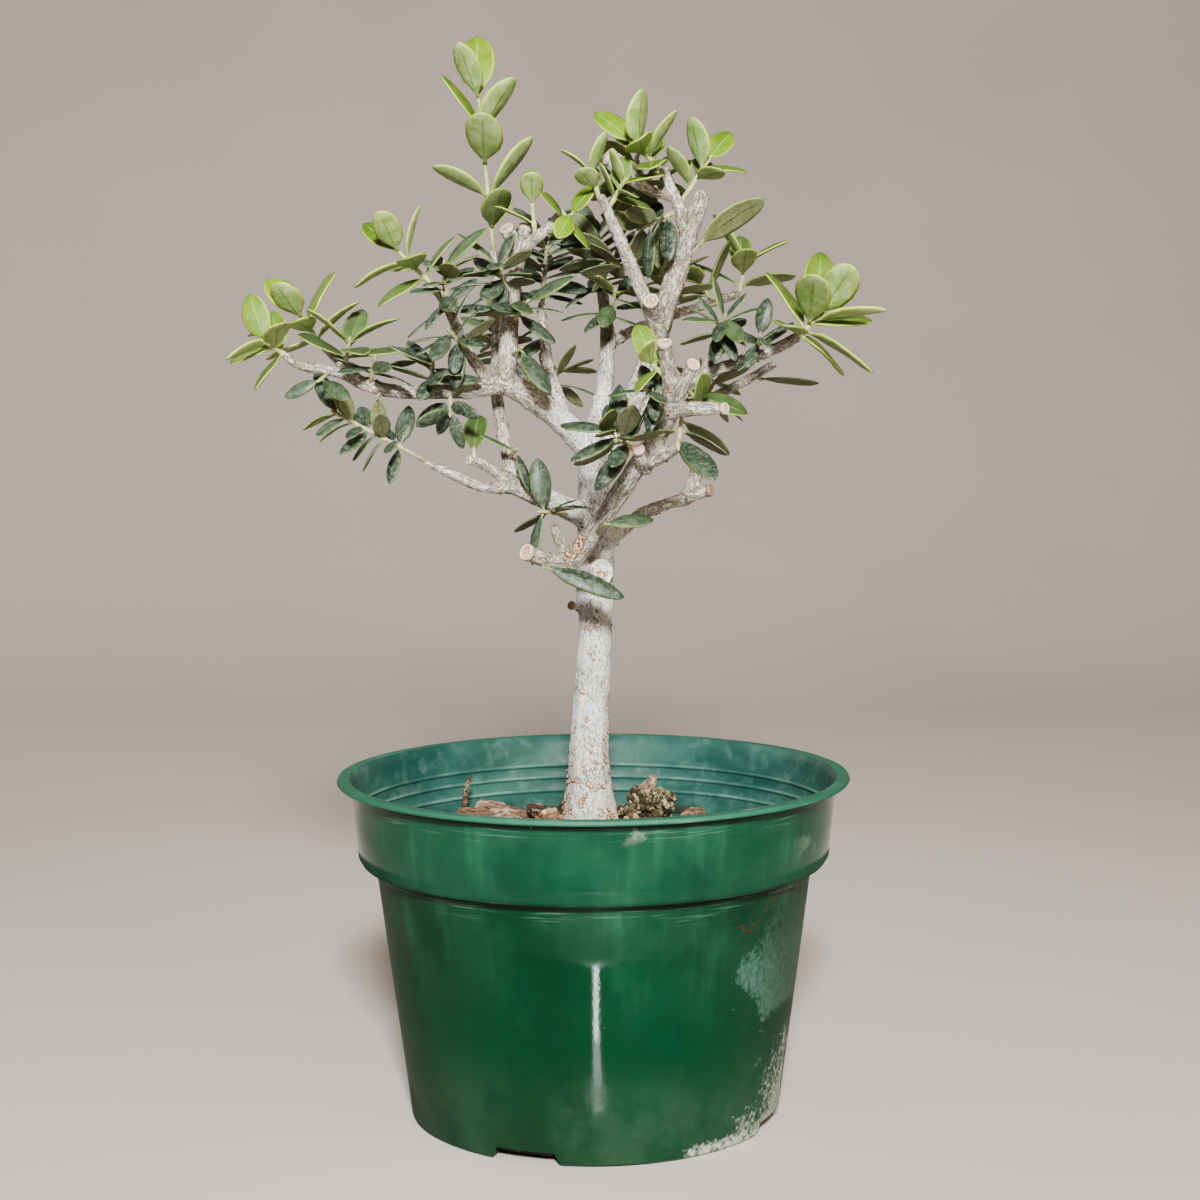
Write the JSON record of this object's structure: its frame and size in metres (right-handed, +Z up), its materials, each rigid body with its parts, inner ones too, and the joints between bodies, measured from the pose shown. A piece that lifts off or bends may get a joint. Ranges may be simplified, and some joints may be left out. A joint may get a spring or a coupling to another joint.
{
  "type": "potted olive bonsai",
  "caption": "Small pruned olive tree with a straight trunk, forked limbs and leafy shoots, standing in a round nursery pot with a collar band and a rolled flange.",
  "frame": {"origin": "centre of the pot's underside, on the face it stands on", "axes": "+Z up along the pot's axis, -Y to the front of the tree, +X to the right as seen from the front"},
  "size_m": [0.202, 0.165, 0.3451],
  "materials": {
    "pot_plastic": "deep green injection-moulded plastic, glossy, scuffed and crusted with mineral marks",
    "mix_earth": "dark damp potting mix with bark crumbs; matte plastic stands in for earth",
    "bark": "pale grey olive bark with small tan pores, dry and matte",
    "chip_bark": "weathered brown pine bark, matte",
    "pumice": "tan porous lump with a green tinge; matte plastic stands in for stone",
    "old_leaf": "leathery dark green upper side, grey-olive underside; matte plastic stands in for leaf",
    "sage_leaf": "half-grown leaf, sage green; matte plastic stands in for leaf",
    "fresh_leaf": "young leaf, lime upper side and pale underside; matte plastic stands in for leaf"
  },
  "bodies": {
    "root": {"nursery_pot": "pot_plastic", "potting_mix": "mix_earth", "olive_wood": "bark", "pumice_clump": "pumice", "bark_chip_long": "chip_bark", "bark_chip_leaning": "chip_bark", "bark_chip_sliver": "chip_bark", "bark_chip_dark": "chip_bark", "bark_chip_upright": "chip_bark", "bark_chip_rear": "chip_bark", "shoot_crownLeader": "fresh_leaf", "shoot_stubShoot": "fresh_leaf", "shoot_armShoot": "fresh_leaf", "shoot_leftTwigTip": "fresh_leaf", "shoot_leftTwigUpper": "sage_leaf", "shoot_leftTwigMiddle": "old_leaf", "shoot_leftTwigLower": "old_leaf", "shoot_uprightLeft": "old_leaf", "shoot_uprightRight": "old_leaf", "shoot_uprightLow": "old_leaf", "shoot_backLeftTip": "old_leaf", "shoot_centreTip": "old_leaf", "shoot_centreFront": "sage_leaf", "shoot_diagonalTip": "fresh_leaf", "shoot_diagonalYoung": "fresh_leaf", "shoot_sideTip": "fresh_leaf", "shoot_sideBack": "sage_leaf", "shoot_sideLow": "old_leaf", "shoot_rightTip": "fresh_leaf", "shoot_bigPair": "sage_leaf", "shoot_behindRightTip": "sage_leaf", "shoot_behindRightSide": "sage_leaf", "shoot_rightRosette": "sage_leaf", "shoot_rightTipSpray": "fresh_leaf", "shoot_rightMiddle": "old_leaf", "shoot_rightLowerTip": "old_leaf", "shoot_behindFrontFork": "sage_leaf", "shoot_frontNubPair": "old_leaf", "shoot_frontFan": "old_leaf", "shoot_frontLime": "fresh_leaf", "shoot_frontMiddle": "old_leaf", "shoot_lowLeftSpray": "old_leaf", "shoot_frontCross": "old_leaf", "shoot_stubLeaf": "old_leaf", "shoot_lowLeftTip": "old_leaf", "shoot_lowLeftRound": "sage_leaf", "shoot_behindUprightLow": "old_leaf", "shoot_diagonalBack": "old_leaf", "shoot_farLeftUpperTip": "fresh_leaf", "shoot_farLeftLowerTip": "fresh_leaf", "shoot_farLeftInner": "sage_leaf", "shoot_farLeftMiddle": "old_leaf", "shoot_farLeftUpright": "old_leaf", "shoot_farLeftUnder": "sage_leaf", "shoot_farLeftHanging": "old_leaf", "shoot_farLeftDroop": "old_leaf", "shoot_behindLeftTip": "sage_leaf", "shoot_behindMidTip": "sage_leaf", "shoot_backLowLeft": "old_leaf", "shoot_backLowRight": "old_leaf"}
  },
  "joints": []
}
